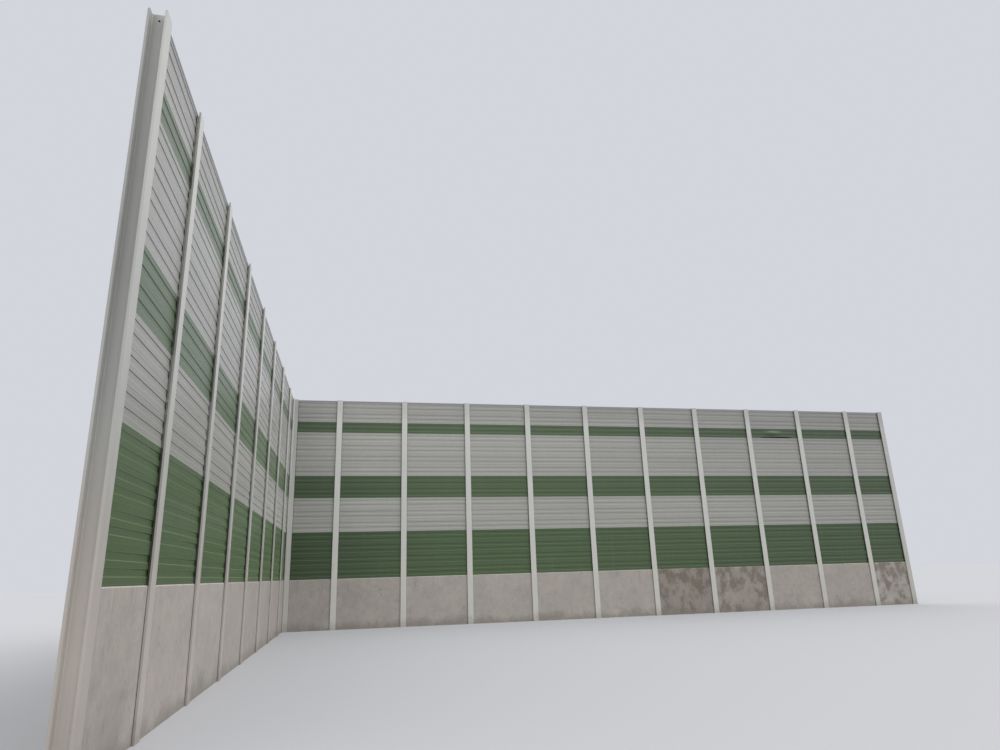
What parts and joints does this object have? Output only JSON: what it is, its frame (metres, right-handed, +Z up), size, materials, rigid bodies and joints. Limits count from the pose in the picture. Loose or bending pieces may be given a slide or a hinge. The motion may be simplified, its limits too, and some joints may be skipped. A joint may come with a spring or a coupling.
{
  "type": "noise barrier",
  "caption": "L-shaped noise barrier of steel H-posts with stacked folded metal cassettes in green and grey bands on tall concrete plinths.",
  "frame": {"origin": "middle of the foot of the long run's corner post, on the lowest ground level", "axes": "+X along the long run from the corner to its free end, -Y along the short run from the corner to its free end, +Z up; the inner side of both runs has positive X and negative Y"},
  "size_m": [31.6383, 22.5726, 10.143],
  "materials": {
    "post_paint": "light grey paint, matt, on rolled steel",
    "grey_paint": "light grey coating on folded sheet, satin",
    "green_paint": "leaf green coating on folded sheet, satin",
    "concrete": "precast concrete, smooth from the mould, with damp mottling",
    "rubber": "black sealing rubber",
    "bare_metal": "dull grey folded sheet"
  },
  "bodies": {
    "root": {"short_run_end_post": "post_paint", "short_run_line_posts": "post_paint", "short_run_corner_post": "post_paint", "long_run_corner_post": "post_paint", "long_run_line_posts": "post_paint", "long_run_end_post": "post_paint", "corner_closing_sheet": "post_paint", "short_run_plinths": "concrete", "long_run_plinths": "concrete", "short_run_plinth_strips": "rubber", "long_run_plinth_strips": "rubber", "short_run_bearing_strips": "rubber", "long_run_bearing_strips": "rubber", "short_run_green_low": "green_paint", "short_run_grey_low": "grey_paint", "short_run_green_mid": "green_paint", "short_run_grey_mid": "grey_paint", "short_run_green_top": "green_paint", "short_run_grey_top": "grey_paint", "long_run_green_low": "green_paint", "long_run_grey_low": "grey_paint", "long_run_green_mid": "green_paint", "long_run_grey_mid": "grey_paint", "long_run_green_top": "green_paint", "long_run_grey_top": "grey_paint", "buckled_cassette": "green_paint", "short_run_front_seals": "rubber", "short_run_rear_seals": "rubber", "long_run_front_seals": "rubber", "long_run_rear_seals": "rubber", "short_run_capping": "bare_metal", "long_run_capping": "bare_metal"}
  },
  "joints": []
}
